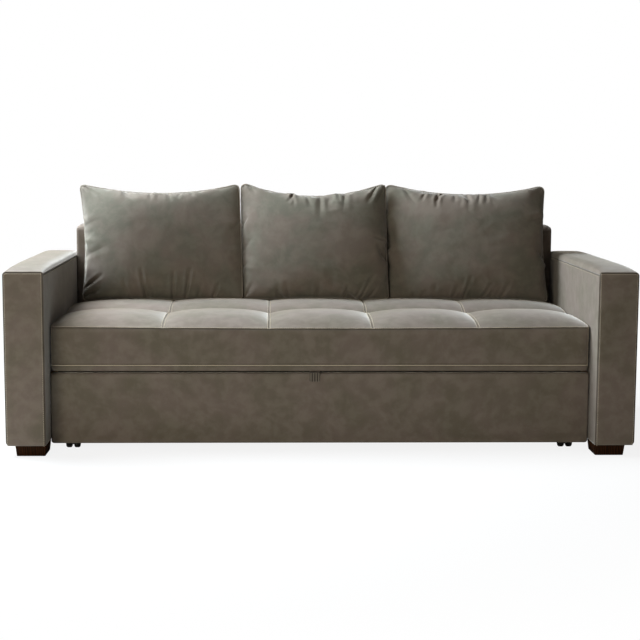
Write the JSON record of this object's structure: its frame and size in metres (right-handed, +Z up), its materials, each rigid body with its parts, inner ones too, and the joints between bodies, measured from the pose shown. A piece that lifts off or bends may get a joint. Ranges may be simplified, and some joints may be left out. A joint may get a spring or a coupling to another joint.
{
  "type": "sleeper sofa",
  "caption": "Sleeper sofa with square arms, a low back, a tufted bench seat, loose back pillows and a bed on casters that slides out from under the seat.",
  "frame": {"origin": "on the floor under the middle of the sofa", "axes": "+Z up, the sofa's front towards -Y, +X to the right when it is seen from the front"},
  "size_m": [2.26, 0.98, 0.9633],
  "materials": {
    "upholstery": "grey-brown suede-like microfibre, matt",
    "pillow_fabric": "the same microfibre on loose pillows, matt",
    "mattress_ticking": "woven mattress ticking",
    "strap_webbing": "ribbed webbing",
    "plywood": "raw plywood",
    "slat_wood": "sanded beech",
    "foot_wood": "dark brown stain, satin",
    "rail_steel": "zinc-plated sheet steel",
    "caster_plastic": "black moulded nylon",
    "wheel_rubber": "black wheel tread"
  },
  "bodies": {
    "sofa": {"left_arm_cover": "upholstery", "right_arm_cover": "upholstery", "back_cover": "upholstery", "seat_cushion": "upholstery", "left_arm_frame": "plywood", "right_arm_frame": "plywood", "back_frame": "plywood", "deck_front_rail": "plywood", "deck_rear_rail": "plywood", "deck_left_rail": "plywood", "deck_right_rail": "plywood", "seat_slat_1": "slat_wood", "seat_slat_2": "slat_wood", "seat_slat_3": "slat_wood", "seat_slat_4": "slat_wood", "seat_slat_5": "slat_wood", "seat_slat_6": "slat_wood", "seat_slat_7": "slat_wood", "seat_slat_8": "slat_wood", "seat_slat_9": "slat_wood", "front_left_foot": "foot_wood", "front_right_foot": "foot_wood", "rear_left_foot": "foot_wood", "rear_right_foot": "foot_wood", "left_guide_rail": "rail_steel", "right_guide_rail": "rail_steel"},
    "bed": {"front_panel_cover": "upholstery", "bed_front_board": "plywood", "bed_rear_board": "plywood", "bed_centre_beam": "plywood", "bed_left_board": "plywood", "bed_right_board": "plywood", "bed_left_bearer": "plywood", "bed_right_bearer": "plywood", "bed_slat_1": "slat_wood", "bed_slat_2": "slat_wood", "bed_slat_3": "slat_wood", "bed_slat_4": "slat_wood", "bed_slat_5": "slat_wood", "bed_slat_6": "slat_wood", "bed_slat_7": "slat_wood", "bed_slat_8": "slat_wood", "bed_mattress": "mattress_ticking", "pull_strap_tail": "strap_webbing", "front_left_caster_fork": "caster_plastic", "front_right_caster_fork": "caster_plastic", "rear_left_caster_fork": "caster_plastic", "rear_right_caster_fork": "caster_plastic"},
    "front_left_wheels": {"front_left_caster_wheels": "wheel_rubber"},
    "front_right_wheels": {"front_right_caster_wheels": "wheel_rubber"},
    "rear_left_wheels": {"rear_left_caster_wheels": "wheel_rubber"},
    "rear_right_wheels": {"rear_right_caster_wheels": "wheel_rubber"},
    "left_roller": {"left_guide_roller": "caster_plastic"},
    "right_roller": {"right_guide_roller": "caster_plastic"},
    "pull_tab": {"pull_strap_tab": "strap_webbing"},
    "left_pillow": {"left_pillow": "pillow_fabric"},
    "middle_pillow": {"middle_pillow": "pillow_fabric"},
    "right_pillow": {"right_pillow": "pillow_fabric"}
  },
  "joints": [
    {"name": "bed_pull_out", "type": "slide", "parent": "sofa", "child": "bed", "axis": [0, -1, 0], "range_m": [0, 0.646]},
    {"name": "front_left_wheels_roll", "type": "hinge", "parent": "bed", "child": "front_left_wheels", "pos_m": [-0.9147, -0.3244, 0.025], "axis": [1, 0, 0], "continuous": true},
    {"name": "front_right_wheels_roll", "type": "hinge", "parent": "bed", "child": "front_right_wheels", "pos_m": [0.9147, -0.3244, 0.025], "axis": [1, 0, 0], "continuous": true},
    {"name": "rear_left_wheels_roll", "type": "hinge", "parent": "bed", "child": "rear_left_wheels", "pos_m": [-0.9147, 0.2787, 0.025], "axis": [1, 0, 0], "continuous": true},
    {"name": "rear_right_wheels_roll", "type": "hinge", "parent": "bed", "child": "rear_right_wheels", "pos_m": [0.9147, 0.2787, 0.025], "axis": [1, 0, 0], "continuous": true},
    {"name": "left_roller_roll", "type": "hinge", "parent": "bed", "child": "left_roller", "pos_m": [-0.9809, 0.31, 0.165], "axis": [1, 0, 0], "continuous": true},
    {"name": "right_roller_roll", "type": "hinge", "parent": "bed", "child": "right_roller", "pos_m": [0.9809, 0.31, 0.165], "axis": [1, 0, 0], "continuous": true},
    {"name": "pull_tab_swing", "type": "hinge", "parent": "bed", "child": "pull_tab", "pos_m": [-0.022, -0.3879, 0.2891], "axis": [-1, 0, 0], "range_deg": [0, 80]},
    {"name": "left_pillow_lift", "type": "slide", "parent": "sofa", "child": "left_pillow", "axis": [0, 0, 1], "range_m": [0, 0.6]},
    {"name": "middle_pillow_lift", "type": "slide", "parent": "sofa", "child": "middle_pillow", "axis": [0, 0, 1], "range_m": [0, 0.6]},
    {"name": "right_pillow_lift", "type": "slide", "parent": "sofa", "child": "right_pillow", "axis": [0, 0, 1], "range_m": [0, 0.6]}
  ],
  "couplings": [
    {"joint": "front_left_wheels_roll", "follows": "bed_pull_out", "rad_per_m": 40},
    {"joint": "front_right_wheels_roll", "follows": "bed_pull_out", "rad_per_m": 40},
    {"joint": "rear_left_wheels_roll", "follows": "bed_pull_out", "rad_per_m": 40},
    {"joint": "rear_right_wheels_roll", "follows": "bed_pull_out", "rad_per_m": 40},
    {"joint": "left_roller_roll", "follows": "bed_pull_out", "rad_per_m": 71.429},
    {"joint": "right_roller_roll", "follows": "bed_pull_out", "rad_per_m": 71.429}
  ]
}
